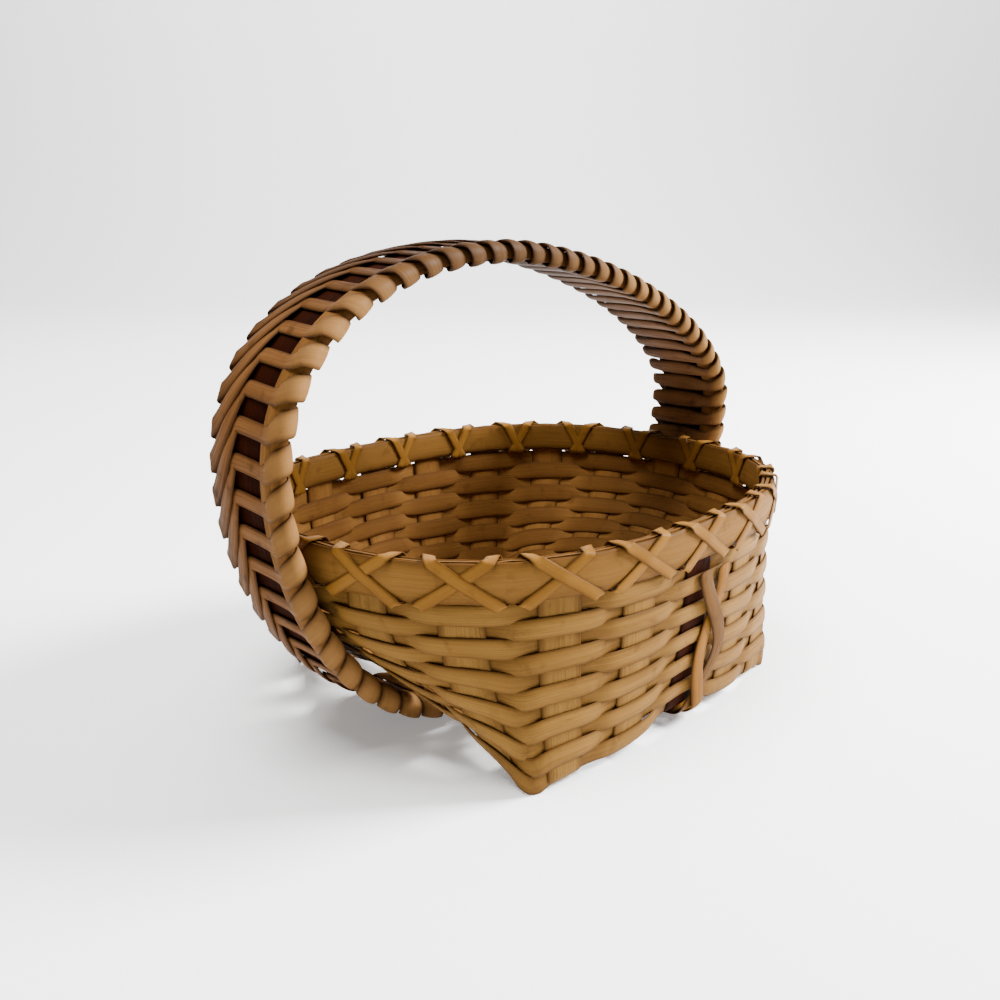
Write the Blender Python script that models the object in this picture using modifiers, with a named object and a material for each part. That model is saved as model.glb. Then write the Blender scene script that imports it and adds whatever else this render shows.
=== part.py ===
"""Square-based splint basket with a round rim, a cross-lashed rim band and a wound hoop handle.

Metres, +Z up. X runs from one leg of the handle to the other. The origin lies under the middle
of the basket, on the surface that its four corner feet stand on.
"""
import functools
import math

import bmesh
import bpy
import numpy as np
from mathutils import Vector

# Rim and base
rim_half_length = 0.1045
rim_half_width = 0.0878
rim_height = 0.0802
rim_roundness = 2.5
wall_spread_length = 0.0321
wall_spread_width = 0.0117
base_pull_length = 0.0060
base_bow_width = 0.0044
base_back_draw = 0.0095
base_back_taper = 0.0110
base_lift_length = 0.0210
base_lift_width = 0.0056
base_arch_power = 1.2
base_bump_power = 12
base_corner_height = 0.0007
base_edge_clearance = 0.0032
wall_bulge = 0.96
foot_wear = 0.0006
foot_half_width = 0.0032

# Upright splints and the weavers that go round them
sides = 4
splints_per_side = 5
upright_width = 0.0154
upright_thickness = 0.0010
weaver_rows = 11
weaver_thickness = 0.0009
weaver_gap = 0.0006
weaver_turn = 0.0007
weave_slack = 0.0003
fit_gap = 0.0003
upright_top_drop = 0.0030

# Rim hoops, the filler between them and the cross lashing
outer_hoop_height = 0.0127
outer_hoop_thickness = 0.0020
inner_hoop_height = 0.0115
inner_hoop_thickness = 0.0018
filler_height = 0.0022
filler_thickness = 0.0010
filler_drop = 0.0002
lashing_width = 0.0036
lashing_thickness = 0.0008
lashing_slack = 0.0010
lashing_reach_share = 0.37
lashing_outer_rise = 0.0020
lashing_inner_rise = 0.0032

# Handle hoop: a round rod at its near edge and a flat dark core, wound with three splints
handle_top_height = 0.1690
handle_top_lean = 0.0222
handle_waist_height = 0.1012
handle_foot_height = 0.0053
handle_left_clearance = 0.0166
handle_right_clearance = 0.0166
handle_foot_inset = 0.0274
handle_top_left_roundness = 2.24
handle_top_right_roundness = 1.62
handle_foot_roundness = 1.92
hoop_stations = 72
edge_rod_radius = 0.0026
edge_rod_place = -0.0160
edge_rod_rings = 2
dark_core_width = 0.0136
dark_core_place = -0.0040
core_thickness = 0.0020
winding_strands = 3
winding_rungs = 66
winding_width = 0.0044
winding_thickness = 0.0011
winding_bend_place = 0.0044
winding_far_place = 0.0192
winding_fold_reach = 0.0032
winding_swing_share = 0.15
winding_shares = (0.10, 0.25, 0.40, 0.50)

# Cross band on the middle splint of the narrow direction
cross_braid_width = 0.0046
cross_braid_thickness = 0.0009
cross_braid_reach = 0.0056
cross_braid_rise = 0.0015
cross_braid_place = 0.0062
cross_braid_turns = 4.1
cross_braid_start_turn = 0.2
cross_braid_steps = 34

floor_cutter_size = 0.30

# Samples along smooth curves, and the shares of a pitch or path over which a direction is taken
fine_steps = 720
profile_steps = 32
side_step_share = 0.05
bend_share = 0.0156
weld_distance = 0.0000003

base_half_length = rim_half_length - wall_spread_length
base_half_width = rim_half_width - wall_spread_width
handle_left_reach = rim_half_length + handle_left_clearance
handle_right_reach = rim_half_length + handle_right_clearance
handle_foot_flat = base_half_length - handle_foot_inset
splint_count = sides * splints_per_side
weave_offset = upright_thickness / 2 + fit_gap + weave_slack + weaver_thickness / 2
base_offset = upright_thickness / 2 + fit_gap / 2
hoop_zone = outer_hoop_height + lashing_thickness + 4 * fit_gap
core_lift = core_thickness / 2 + fit_gap + winding_thickness / 2
edge_rod_lift = edge_rod_radius + 4 * fit_gap + winding_thickness / 2
winding_near_place = edge_rod_place - edge_rod_radius - fit_gap - winding_thickness / 2
cross_braid_lift = weave_offset + weaver_thickness / 2 + fit_gap
cross_braid_lift += cross_braid_rise + cross_braid_thickness / 2


def superellipse_radius(angle, half_x, half_y, roundness):
    """Distance from the middle to a superellipse in one direction."""
    x_share = abs(math.cos(angle)) / half_x
    y_share = abs(math.sin(angle)) / half_y
    return (x_share ** roundness + y_share ** roundness) ** (-1 / roundness)


def even_curve(points):
    """A closed polyline as a function of the share of its length."""
    points = np.array(points)
    steps = np.linalg.norm(np.diff(points, axis=0), axis=1)
    shares = np.concatenate([[0.0], np.cumsum(steps)]) / steps.sum()

    def at(share):
        return [np.interp(share % 1.0, shares, points[:, axis]) for axis in range(points.shape[1])]

    return at, float(steps.sum())


def rim_outline():
    """The round rim, with its start at the corner in the first quadrant."""
    points = []
    for step in range(fine_steps + 1):
        angle = 2 * math.pi * step / fine_steps
        radius = superellipse_radius(angle, rim_half_length, rim_half_width, rim_roundness)
        points.append((radius * math.cos(angle), radius * math.sin(angle)))
    return even_curve(points)


rim_at, rim_length = rim_outline()
rim_pitch = rim_length / splint_count


def side_share(place):
    """Side number and share along that side, from -1 to 1, of a place counted in splints."""
    place = place % splint_count
    side = int(place // splints_per_side) % sides
    share = 2 * (place - side * splints_per_side) / splints_per_side - 1
    return side, share


def base_point(x_share, y_share):
    """The base's middle surface: arched along its length, and lifted where the cross band passes.

    Its edges are drawn in under the handle and bowed out across it, and it is smaller at the back.
    """
    back_share = max(0.0, y_share) ** 2
    half_length = base_half_length - base_pull_length * (1 - y_share ** 2)
    half_width = base_half_width + base_bow_width * (1 - x_share ** 2)
    x = x_share * (half_length - base_back_taper * back_share)
    y = y_share * half_width - base_back_draw * back_share
    length_arch = 1 - abs(y_share) ** base_arch_power
    width_arch = (1 - x_share ** 2) ** base_bump_power * y_share ** 2
    z = base_corner_height + base_lift_length * length_arch + base_lift_width * width_arch
    return Vector((x, y, z))


def base_frame(x_share, y_share):
    """Point of the base with its two directions and its upward normal."""
    step = 1 / profile_steps
    along_x = base_point(x_share + step, y_share) - base_point(x_share - step, y_share)
    along_y = base_point(x_share, y_share + step) - base_point(x_share, y_share - step)
    along_x.normalize()
    normal = along_x.cross(along_y).normalized()
    along_y = normal.cross(along_x)
    return base_point(x_share, y_share), along_x, along_y, normal


def base_edge(place):
    """The edge of the base under a place."""
    side, share = side_share(place)
    return base_point(*((1, share), (-share, 1), (-1, -share), (share, -1))[side])


def rim_point(place):
    """The middle of the rim's thickness above a place."""
    x, y = rim_at((place / splints_per_side - 0.5) / sides)
    return Vector((x, y, rim_height - hoop_zone))


@functools.lru_cache(maxsize=None)
def wall_profile(place):
    """Points up the wall, from the edge of the base to the rim band, with their distance along it."""
    low = base_edge(place)
    high = rim_point(place)
    points = []
    for step in range(profile_steps + 1):
        share = step / profile_steps
        bulge = math.sin(share * math.pi / 2) ** wall_bulge
        point = low.lerp(high, bulge)
        point.z = low.z + (high.z - low.z) * share
        points.append(point)
    lengths = [0.0]
    for below, above in zip(points, points[1:]):
        lengths.append(lengths[-1] + (above - below).length)
    return points, lengths


def wall_point(place, distance):
    """The point of the wall's middle surface at a distance up from the base; upright past the wall."""
    points, lengths = wall_profile(place)
    past = max(0.0, distance - lengths[-1])
    if past:
        return points[-1] + Vector((0, 0, past))
    return Vector([np.interp(distance, lengths, [point[axis] for point in points]) for axis in range(3)])


def wall_length(place):
    """The length of the wall from base to rim band at a place."""
    return wall_profile(place)[1][-1]


def wall_frame(place, distance):
    """Point, direction round the wall, direction up it and outward normal at a distance up."""
    up_step = weaver_thickness
    length = wall_length(place)
    middle = wall_point(place, distance)
    ahead_place = place + side_step_share
    behind_place = place - side_step_share
    ahead = wall_point(ahead_place, distance / length * wall_length(ahead_place))
    behind = wall_point(behind_place, distance / length * wall_length(behind_place))
    above = wall_point(place, distance + up_step)
    below = wall_point(place, max(distance - up_step, 0.0))
    along = (ahead - behind).normalized()
    upward = (above - below).normalized()
    if distance >= length:
        along.z = 0
        along.normalize()
        upward = Vector((0, 0, 1))
    outward = along.cross(upward).normalized()
    along = upward.cross(outward).normalized()
    return middle, along, upward, outward


def make_material(name, colour, roughness):
    """A plain wood surface in one colour."""
    material = bpy.data.materials.new(name)
    material.use_nodes = True
    shader = material.node_tree.nodes["Principled BSDF"]
    shader.inputs["Base Color"].default_value = (*colour, 1.0)
    shader.inputs["Roughness"].default_value = roughness
    shader.inputs["Metallic"].default_value = 0.0
    return material


def new_object(name, mesh, material, collection):
    """An object in its collection with one material."""
    item = bpy.data.objects.new(name, mesh)
    mesh.materials.append(material)
    collection.objects.link(item)
    return item


def splint(name, stations, thickness, material, collection, closed):
    """A thin flat strip of wood.

    Each station is a point on the strip's middle line with the vector from there to its edge.
    """
    rows = list(stations)
    if closed:
        rows.append(rows[0])
    sheet = bmesh.new()
    bmesh.ops.create_grid(sheet, x_segments=len(rows) - 1, y_segments=1, size=1.0)
    corners = sorted(sheet.verts, key=lambda corner: (round(corner.co.x, 6), corner.co.y))
    for index, (centre, reach) in enumerate(rows):
        corners[2 * index].co = centre - reach
        corners[2 * index + 1].co = centre + reach
    if closed:
        bmesh.ops.remove_doubles(sheet, verts=sheet.verts, dist=weld_distance)
    mesh = bpy.data.meshes.new(name)
    sheet.to_mesh(mesh)
    sheet.free()
    item = new_object(name, mesh, material, collection)
    shell = item.modifiers.new("thickness", "SOLIDIFY")
    shell.thickness = thickness
    shell.offset = 0.0
    shell.use_even_offset = True
    return item


def upright_wall(place):
    """The run of a splint up one wall: below the weaving, at each row and twice in the rim band."""
    half = upright_width / 2
    length = wall_length(place)
    distances = [row_start(place)]
    distances += [row_distance(place, row) for row in range(weaver_rows)]
    distances += [length, length + hoop_zone - upright_top_drop]
    stations = []
    for distance in distances:
        centre, along, upward, outward = wall_frame(place, distance)
        stations.append((centre, along * half))
    return stations


def upright_base(number, runs_along_x):
    """The run of a splint across the base, flat over or under each of the five that cross it."""
    half = upright_width / 2
    shares = [2 * (index + 0.5) / splints_per_side - 1 for index in range(splints_per_side)]
    stations = []
    for index, crossing in enumerate(shares):
        over = (number + index) % 2 == 0
        if runs_along_x:
            centre, run, across, normal = base_frame(crossing, shares[number])
            lift = base_offset if over else -base_offset
        else:
            centre, across, run, normal = base_frame(shares[number], crossing)
            lift = -base_offset if over else base_offset
            across = -across
        for edge in (-1, 1):
            stations.append((centre + run * edge * half + normal * lift, across * half))
    return stations


def upright_stations(number, runs_along_x):
    """A splint that goes up one wall, across the base and up the opposite wall."""
    last = splints_per_side - 1 - number
    if runs_along_x:
        first_place = 2 * splints_per_side + last + 0.5
        last_place = number + 0.5
    else:
        first_place = 3 * splints_per_side + number + 0.5
        last_place = splints_per_side + last + 0.5
    first = [(centre, -reach) for centre, reach in reversed(upright_wall(first_place))]
    return first + upright_base(number, runs_along_x) + upright_wall(last_place)


def row_start(place):
    """How far up the wall the weaving starts: clear of the bent splints, and low at the corners."""
    return 0.0 if place % splints_per_side == 0 else base_edge_clearance


def row_pitch(place):
    """Height of one weaver row along the wall at a place."""
    return (wall_length(place) - row_start(place)) / weaver_rows


def row_distance(place, row):
    """How far up the wall the middle of a weaver row lies."""
    return row_start(place) + (row + 0.5) * row_pitch(place)


def edge_line(place, distance, sideways, half_height):
    """Direction up the wall beside an upright, at a distance sideways from its middle."""
    low, low_along, _, _ = wall_frame(place, distance - half_height)
    high, high_along, _, _ = wall_frame(place, distance + half_height)
    return (high + high_along * sideways - low - low_along * sideways).normalized()


def ring_stations(distance_at, offset_at, half_height, edge_reach, drop_at, foot_reach):
    """Stations of a ring round the wall: both sides of each upright, and the four corners.

    distance_at gives the distance up the wall at a place, and offset_at the distance outward at
    an upright, by its number. Each station beside an upright lies edge_reach from its middle. At
    the corners the ring dips by what drop_at gives, over a foot of the given reach.
    """
    stations = []
    for number in range(splint_count):
        place = number + 0.5
        distance = distance_at(place)
        centre, along, upward, outward = wall_frame(place, distance)
        for edge in (-1, 1):
            sideways = edge * edge_reach
            point = centre + along * sideways + outward * offset_at(number)
            rise = edge_line(place, distance, sideways, half_height)
            stations.append((point, rise * half_height))
        if (number + 1) % splints_per_side == 0:
            corner = number + 1.0
            centre, along, upward, outward = wall_frame(corner, distance_at(corner))
            centre = centre - upward * drop_at(corner)
            before = stations[-1][0]
            after_place = number + 1.5
            after = wall_point(after_place, distance_at(after_place))
            if foot_reach:
                lead = (before - centre).normalized()
                lead.z = 0
                stations.append((centre + lead * foot_reach, upward * half_height))
            stations.append((centre, upward * half_height))
            if foot_reach:
                trail = (after - centre).normalized()
                trail.z = 0
                stations.append((centre + trail * foot_reach, upward * half_height))
    return stations


def make_uprights(light, dark, collection):
    """Ten splints, five each way, woven through each other in the base."""
    for number in range(splints_per_side):
        for direction in ("length", "width"):
            middle = direction == "width" and number == splints_per_side // 2
            name = "cross_core_splint" if middle else f"upright_splint_{direction}_{number + 1}"
            stations = upright_stations(number, direction == "length")
            splint(name, stations, upright_thickness, dark if middle else light, collection,
                   closed=False)


def weaver_width():
    """The widest splint that leaves a gap between rows everywhere."""
    pitches = [row_pitch(place / 2) for place in range(2 * splints_per_side)]
    return min(pitches) - weaver_gap


def foot_drop(corner, half_width):
    """How far the lowest row dips at a corner of the base, so that its edge is worn by the floor."""
    middle, along, upward, outward = wall_frame(corner, row_distance(corner, 0))
    return (middle.z + foot_wear) / upward.z - half_width


def make_weavers(material, collection):
    """Closed weaver rows, each going outside one upright and inside the next."""
    half_width = weaver_width() / 2
    rows = []
    for row in range(weaver_rows):
        def distance_at(place, row=row):
            return row_distance(place, row)

        def offset_at(number, row=row):
            return weave_offset if (number + row) % 2 == 0 else -weave_offset

        def drop_at(corner, row=row):
            return foot_drop(corner, half_width) * (1 - row / weaver_rows)

        foot_reach = foot_half_width if row == 0 else 0.0
        stations = ring_stations(distance_at, offset_at, half_width,
                                 upright_width / 2 + weaver_turn, drop_at, foot_reach)
        rows.append(splint(f"weaver_row_{row + 1:02d}", stations, weaver_thickness, material,
                           collection, closed=True))
    return rows


def level(place):
    """For a ring that lies in the wall's middle and doesn't dip at the corners."""
    return 0.0


def make_rim(material, collection):
    """The outer hoop, the inner hoop and the thin filler between them."""
    layers = (
        ("rim_outer_hoop", outer_hoop_height, outer_hoop_thickness, 1, 0.0),
        ("rim_inner_hoop", inner_hoop_height, inner_hoop_thickness, -1, 0.0),
        ("rim_filler", filler_height, filler_thickness, 0, filler_drop),
    )
    for name, height, thickness, layer_side, drop in layers:
        offset = layer_side * (upright_thickness / 2 + fit_gap + thickness / 2)

        def distance_at(place, height=height, drop=drop):
            return wall_length(place) + hoop_zone - drop - height / 2

        stations = ring_stations(distance_at, level, height / 2,
                                 lashing_reach_share * rim_pitch, level, 0.0)
        splint(name, offset_ring(stations, offset), thickness, material, collection, closed=True)


def offset_ring(stations, offset):
    """A level ring moved outward by an offset measured square to each of its straight runs."""
    moved = []
    count = len(stations)
    for index, (centre, reach) in enumerate(stations):
        before = (centre - stations[index - 1][0]).normalized()
        after = (stations[(index + 1) % count][0] - centre).normalized()
        mitre = Vector((before.y + after.y, -before.x - after.x, 0)).normalized()
        level_run = Vector((after.y, -after.x, 0))
        moved.append((centre + mitre * offset / mitre.dot(level_run), reach))
    return moved


def rim_frame(number, share, height):
    """Point, direction along and outward normal at a share of the pitch from an upright's middle."""
    place = number + 0.5
    centre, along, upward, outward = wall_frame(place, wall_length(place))
    centre = centre + along * share * rim_pitch
    centre.z = height
    return centre, along, outward


def make_lashing(name, hand, raised, material, collection):
    """One strand of the cross lashing: up over each upright outside, down between them inside.

    hand is 1 for a strand that rises to the left of its upright and -1 for its mirror image. The
    raised strand lies over the other where they cross.
    """
    layers = upright_thickness / 2 + 2 * fit_gap + lashing_slack + lashing_thickness / 2
    outer = layers + outer_hoop_thickness
    inner = layers + inner_hoop_thickness
    top = rim_height + 2 * fit_gap + lashing_thickness / 2
    bottom = rim_height - outer_hoop_height - 2 * fit_gap - lashing_thickness / 2
    rise = top - bottom
    outside_run = 2 * lashing_reach_share * rim_pitch
    inside_run = rim_pitch - outside_run
    outside_reach = hand * lashing_width / 2 * math.hypot(rise, outside_run) / rise
    inside_reach = hand * lashing_width / 2 * math.hypot(rise, inside_run) / rise
    share = hand * lashing_reach_share
    stations = []
    for step in range(splint_count):
        number = hand * step
        low, low_along, low_outward = rim_frame(number, -share, bottom)
        high, high_along, high_outward = rim_frame(number, share, top)
        past, past_along, past_outward = rim_frame(number + hand, -share, bottom)
        runs = (
            (low + low_outward * outer, low_along, low_outward * lashing_outer_rise,
             high + high_outward * outer, high_along, outside_reach),
            (high - high_outward * inner, high_along, -high_outward * lashing_inner_rise,
             past - past_outward * inner, past_along, inside_reach),
        )
        for start, start_along, lift, end, end_along, reach in runs:
            stations.append((start, start_along * reach))
            if raised:
                middle_along = (start_along + end_along).normalized()
                stations.append(((start + end) / 2 + lift, middle_along * reach))
            stations.append((end, end_along * reach))
    splint(name, stations, lashing_thickness, material, collection, closed=True)


def handle_outline():
    """The middle line of the handle hoop in the plane of the handle, from the right waist up.

    Its crown leans to the left, and its foot is flat under the basket.
    """
    points = []
    for step in range(fine_steps + 1):
        angle = 2 * math.pi * step / fine_steps
        side = -1 if math.cos(angle) < 0 else 1
        reach = handle_left_reach if side < 0 else handle_right_reach
        if math.sin(angle) >= 0:
            middle = -handle_top_lean
            half_z = handle_top_height - handle_waist_height
            roundness = handle_top_left_roundness if side < 0 else handle_top_right_roundness
        else:
            middle = side * handle_foot_flat
            half_z = handle_foot_height - handle_waist_height
            roundness = handle_foot_roundness
        x_share = abs(math.cos(angle)) ** (2 / roundness)
        z_share = abs(math.sin(angle)) ** (2 / roundness)
        x = middle + (side * reach - middle) * x_share
        points.append((x, handle_waist_height + half_z * z_share))
    return even_curve(points)


handle_at, handle_length = handle_outline()


def handle_frame(share):
    """Point, direction along the hoop and outward normal of the handle at a share of its length."""
    small = 1 / fine_steps
    x, z = handle_at(share)
    ahead_x, ahead_z = handle_at(share + small)
    behind_x, behind_z = handle_at(share - small)
    along = Vector((ahead_x - behind_x, 0, ahead_z - behind_z)).normalized()
    outward = Vector((along.z, 0, -along.x))
    return Vector((x, 0, z)), along, outward


def make_dark_core(material, collection):
    """The flat hoop inside the handle that shows between the rungs of the winding."""
    stations = []
    for step in range(hoop_stations):
        centre, along, outward = handle_frame(step / hoop_stations)
        stations.append((centre + Vector((0, dark_core_place, 0)),
                         Vector((0, dark_core_width / 2, 0))))
    splint("handle_dark_core", stations, core_thickness, material, collection, closed=True)


def make_edge_rod(material, collection):
    """The round hoop under the knobs of the handle's near edge."""
    curve = bpy.data.curves.new("handle_edge_rod", "CURVE")
    curve.dimensions = "3D"
    curve.bevel_depth = edge_rod_radius
    curve.bevel_resolution = edge_rod_rings
    path = curve.splines.new("POLY")
    path.points.add(hoop_stations - 1)
    for step in range(hoop_stations):
        centre, along, outward = handle_frame(step / hoop_stations)
        path.points[step].co = (centre.x, edge_rod_place, centre.z, 1.0)
    path.use_cyclic_u = True
    path.use_smooth = True
    curve.materials.append(material)
    collection.objects.link(bpy.data.objects.new("handle_edge_rod", curve))


def winding_point(number, across, lift):
    """A point of the winding by rung number, with the forward direction and outward normal there.

    Rungs are counted from the right waist under the basket and up the left leg, and lie closer
    together on the right leg than on the left.
    """
    share = -number / winding_rungs
    share -= winding_swing_share * math.sin(2 * math.pi * share) / (2 * math.pi)
    centre, along, outward = handle_frame(share)
    return centre + outward * lift + Vector((0, across, 0)), -along, outward


def edge_vector(run, outward, forward):
    """The direction from the middle of a strip to its forward edge."""
    edge = run.cross(outward).normalized()
    return edge if edge.dot(forward) > 0 else -edge


def make_handle_winding(material, collection):
    """Three splints wound together round the handle.

    Each crosses the near part as a straight rung, folds round the edge rod, returns straight
    along the inner side, folds round the far edge and runs forward aslant to its next rung.
    """
    half = winding_width / 2
    over_rod, under_rod, under_far, over_far = winding_shares
    for strand in range(winding_strands):
        stations = []
        for number in range(strand, winding_rungs, winding_strands):
            bend, forward, outward = winding_point(number, winding_bend_place, core_lift)
            before, _, _ = winding_point(number + over_far - winding_strands,
                                         winding_far_place, core_lift)
            after, _, _ = winding_point(number + over_rod, winding_near_place, edge_rod_lift)
            aslant = (bend - before).normalized()
            rung = (after - bend).normalized()
            run = (aslant + rung).normalized()
            fold = edge_vector(run, outward, forward)
            stations.append((bend, fold * half / run.dot(rung)))
            folds = (
                (over_rod, winding_near_place, edge_rod_lift, half),
                (under_rod, winding_near_place, -edge_rod_lift, half),
                (under_far, winding_far_place, -core_lift, half),
                (over_far, winding_far_place, core_lift, winding_fold_reach),
            )
            for share, across, lift, reach in folds:
                point, forward, outward = winding_point(number + share, across, lift)
                stations.append((point, forward * reach))
            halfway = (over_far + winding_strands) / 2
            middle_place = (winding_far_place + winding_bend_place) / 2
            point, forward, outward = winding_point(number + halfway, middle_place, core_lift)
            after, _, _ = winding_point(number + winding_strands, winding_bend_place, core_lift)
            stations.append((point, edge_vector(after - point, outward, forward) * half))
        splint(f"handle_winding_{strand + 1}", stations, winding_thickness, material, collection,
               closed=True)


def cross_path():
    """The line of the cross band down one wall, under the base and up the other."""
    first = 3 * splints_per_side + splints_per_side / 2
    last = splints_per_side + splints_per_side / 2
    top = wall_length(first) - cross_braid_width / 2
    heights = [top * step / profile_steps for step in range(profile_steps, -1, -1)]
    points = [wall_point(first, height) for height in heights]
    for step in range(1, profile_steps):
        points.append(base_point(0, 2 * step / profile_steps - 1))
    points.extend(wall_point(last, height) for height in reversed(heights))
    return [(point.y, point.z) for point in points]


def make_cross_braid(material, collection):
    """Two strands crossing each other down the outside of the middle splint and under the base."""
    outline = np.array(cross_path())
    steps = np.linalg.norm(np.diff(outline, axis=0), axis=1)
    total = float(steps.sum())
    shares = np.concatenate([[0.0], np.cumsum(steps)]) / total

    def at(share):
        share = min(1.0, max(0.0, share))
        return [float(np.interp(share, shares, outline[:, axis])) for axis in range(2)]

    def frame_at(share):
        y, z = at(share)
        ahead = at(share + bend_share)
        behind = at(share - bend_share)
        along = Vector((0, ahead[0] - behind[0], ahead[1] - behind[1])).normalized()
        outward = Vector((0, along.z, -along.y))
        return Vector((0, y, z)), along, outward, Vector((1, 0, 0)), total

    for number in range(2):
        stations = []
        for step in range(cross_braid_steps + 1):
            share = step / cross_braid_steps
            turn = cross_braid_start_turn + cross_braid_turns * share
            angle = 2 * math.pi * turn + math.pi * number
            centre, along, outward, sideways, length = frame_at(share)
            slope = cross_braid_reach * 2 * math.pi * cross_braid_turns * math.cos(angle)
            rise = cross_braid_rise * math.cos(angle)
            centre = centre + sideways * (cross_braid_place + cross_braid_reach * math.sin(angle))
            centre = centre + outward * (cross_braid_lift + rise)
            run = (along * length + sideways * slope).normalized()
            stations.append((centre, outward.cross(run).normalized() * cross_braid_width / 2))
        splint(f"cross_braid_{number + 1}", stations, cross_braid_thickness, material,
               collection, closed=False)


def flatten_feet(row, collection, material):
    """Cut the lowest row level where its four corners stand."""
    bpy.ops.mesh.primitive_cube_add(size=1.0, location=(0, 0, -floor_cutter_size / 2))
    cutter = bpy.context.object
    cutter.name = "floor_cutter"
    cutter.scale = (floor_cutter_size, floor_cutter_size, floor_cutter_size)
    bpy.ops.object.transform_apply(location=False, rotation=False, scale=True)
    for owner in list(cutter.users_collection):
        owner.objects.unlink(cutter)
    collection.objects.link(cutter)
    cutter.data.materials.append(material)
    cutter.hide_render = True
    cutter.display_type = "WIRE"
    cut = row.modifiers.new("feet", "BOOLEAN")
    cut.operation = "DIFFERENCE"
    cut.solver = "EXACT"
    cut.object = cutter


def main():
    """Clear the scene and build the basket."""
    for item in list(bpy.data.objects):
        bpy.data.objects.remove(item, do_unlink=True)
    basket = bpy.data.collections.new("splint_basket")
    cutters = bpy.data.collections.new("cutters")
    bpy.context.scene.collection.children.link(basket)
    bpy.context.scene.collection.children.link(cutters)

    light = make_material("light_splint", (0.52, 0.33, 0.15), 0.55)
    weft = make_material("weaver_splint", (0.55, 0.36, 0.17), 0.50)
    rim = make_material("rim_splint", (0.50, 0.30, 0.12), 0.50)
    lash = make_material("lashing_splint", (0.46, 0.25, 0.08), 0.45)
    wrap = make_material("handle_splint", (0.40, 0.24, 0.12), 0.50)
    dark = make_material("dark_core_splint", (0.07, 0.025, 0.018), 0.50)

    make_uprights(light, dark, basket)
    rows = make_weavers(weft, basket)
    flatten_feet(rows[0], cutters, weft)
    make_rim(rim, basket)
    make_lashing("rim_lashing_under", 1, False, lash, basket)
    make_lashing("rim_lashing_over", -1, True, lash, basket)
    make_dark_core(dark, basket)
    make_edge_rod(wrap, basket)
    make_handle_winding(wrap, basket)
    make_cross_braid(wrap, basket)


main()
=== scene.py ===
"""Splint basket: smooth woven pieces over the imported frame, their wood finishes, floor and light.

Places round the basket are counted in wall splints, as in the frame: side 0 faces +X, side 1 +Y,
side 2 -X and side 3 -Y, and the corner towards -X and -Y is place 15. All lengths are metres.
"""
import functools
import itertools
import logging
import math
import random
from dataclasses import dataclass
from enum import Enum

import bpy
import numpy as np
from mathutils import Matrix, Vector

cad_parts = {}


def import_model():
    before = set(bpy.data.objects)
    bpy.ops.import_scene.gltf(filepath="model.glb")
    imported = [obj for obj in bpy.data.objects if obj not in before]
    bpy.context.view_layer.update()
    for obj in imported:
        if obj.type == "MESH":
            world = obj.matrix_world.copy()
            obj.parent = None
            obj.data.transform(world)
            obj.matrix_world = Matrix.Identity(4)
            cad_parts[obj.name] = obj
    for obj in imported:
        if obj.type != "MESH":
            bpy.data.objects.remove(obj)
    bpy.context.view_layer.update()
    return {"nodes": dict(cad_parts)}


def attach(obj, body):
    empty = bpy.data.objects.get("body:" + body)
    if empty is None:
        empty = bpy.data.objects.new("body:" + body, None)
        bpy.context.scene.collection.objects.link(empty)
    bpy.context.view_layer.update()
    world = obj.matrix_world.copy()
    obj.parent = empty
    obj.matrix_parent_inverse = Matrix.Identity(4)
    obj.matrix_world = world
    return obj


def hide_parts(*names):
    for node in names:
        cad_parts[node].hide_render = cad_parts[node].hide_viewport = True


LOG = logging.getLogger("splint_basket")
MM = 0.001
SEED = 20
UP = np.array([0.0, 0.0, 1.0])

Array = np.ndarray
Triple = tuple[float, float, float]
Socket = bpy.types.NodeSocket


class Direction(Enum):
    """The two ways that the wall splints run across the base."""

    LENGTH = "length"
    WIDTH = "width"


class Hand(Enum):
    """Which way a lashing strand climbs over the wall splints."""

    RIGHT = 1
    LEFT = -1


class Grain(Enum):
    """How coarse the fibres of a splint look: fibres per metre across it."""

    FINE = 2600.0
    MEDIUM = 1700.0
    COARSE = 1100.0


def unit(rows: Array) -> Array:
    """Rows of vectors made one long."""
    return rows / np.maximum(np.linalg.norm(rows, axis=-1, keepdims=True), 1e-12)


def distances(points: Array) -> Array:
    """How far along a polyline each of its points lies."""
    return np.concatenate([[0.0], np.cumsum(np.linalg.norm(np.diff(points, axis=0), axis=1))])


def beside(rows: Array) -> Array:
    """The mean of the two neighbours of each row, in rows that close on themselves."""
    return (np.roll(rows, 1, axis=0) + np.roll(rows, -1, axis=0)) / 2


def eased(rows: Array) -> Array:
    """Rows that close on themselves, with every corner between them cut."""
    ahead = np.roll(rows, -1, axis=0)
    return np.hstack([rows * 0.75 + ahead * 0.25, rows * 0.25 + ahead * 0.75]).reshape(-1, rows.shape[1])


def smooth_noise(count: int, knots: int, seed: int) -> Array:
    """A closed, smooth random curve between about -1 and 1.

    Args:
        count: Number of samples round the curve.
        knots: Number of waves that it is made of.
        seed: Seed of the random values.

    Returns:
        The samples.
    """
    rng = np.random.default_rng(SEED * 1000 + seed)
    waves = np.zeros(count)
    turn = np.arange(count) / count * 2 * np.pi
    for order in range(1, knots + 1):
        waves += rng.normal() * np.cos(order * turn + rng.uniform(0, 2 * np.pi))
    return waves / math.sqrt(knots)


@dataclass(frozen=True)
class EvenCurve:
    """A polyline read by the share of its length."""

    points: Array
    shares: Array

    @staticmethod
    def through(points: Array) -> "EvenCurve":
        """The curve through given points, with their shares worked out."""
        run = distances(points)
        return EvenCurve(points, run / run[-1])

    def at(self, share: Array) -> Array:
        """Points at shares of the length, going round past the end."""
        share = np.mod(share, 1.0)
        return np.stack([np.interp(share, self.shares, column) for column in self.points.T], axis=-1)


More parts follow.
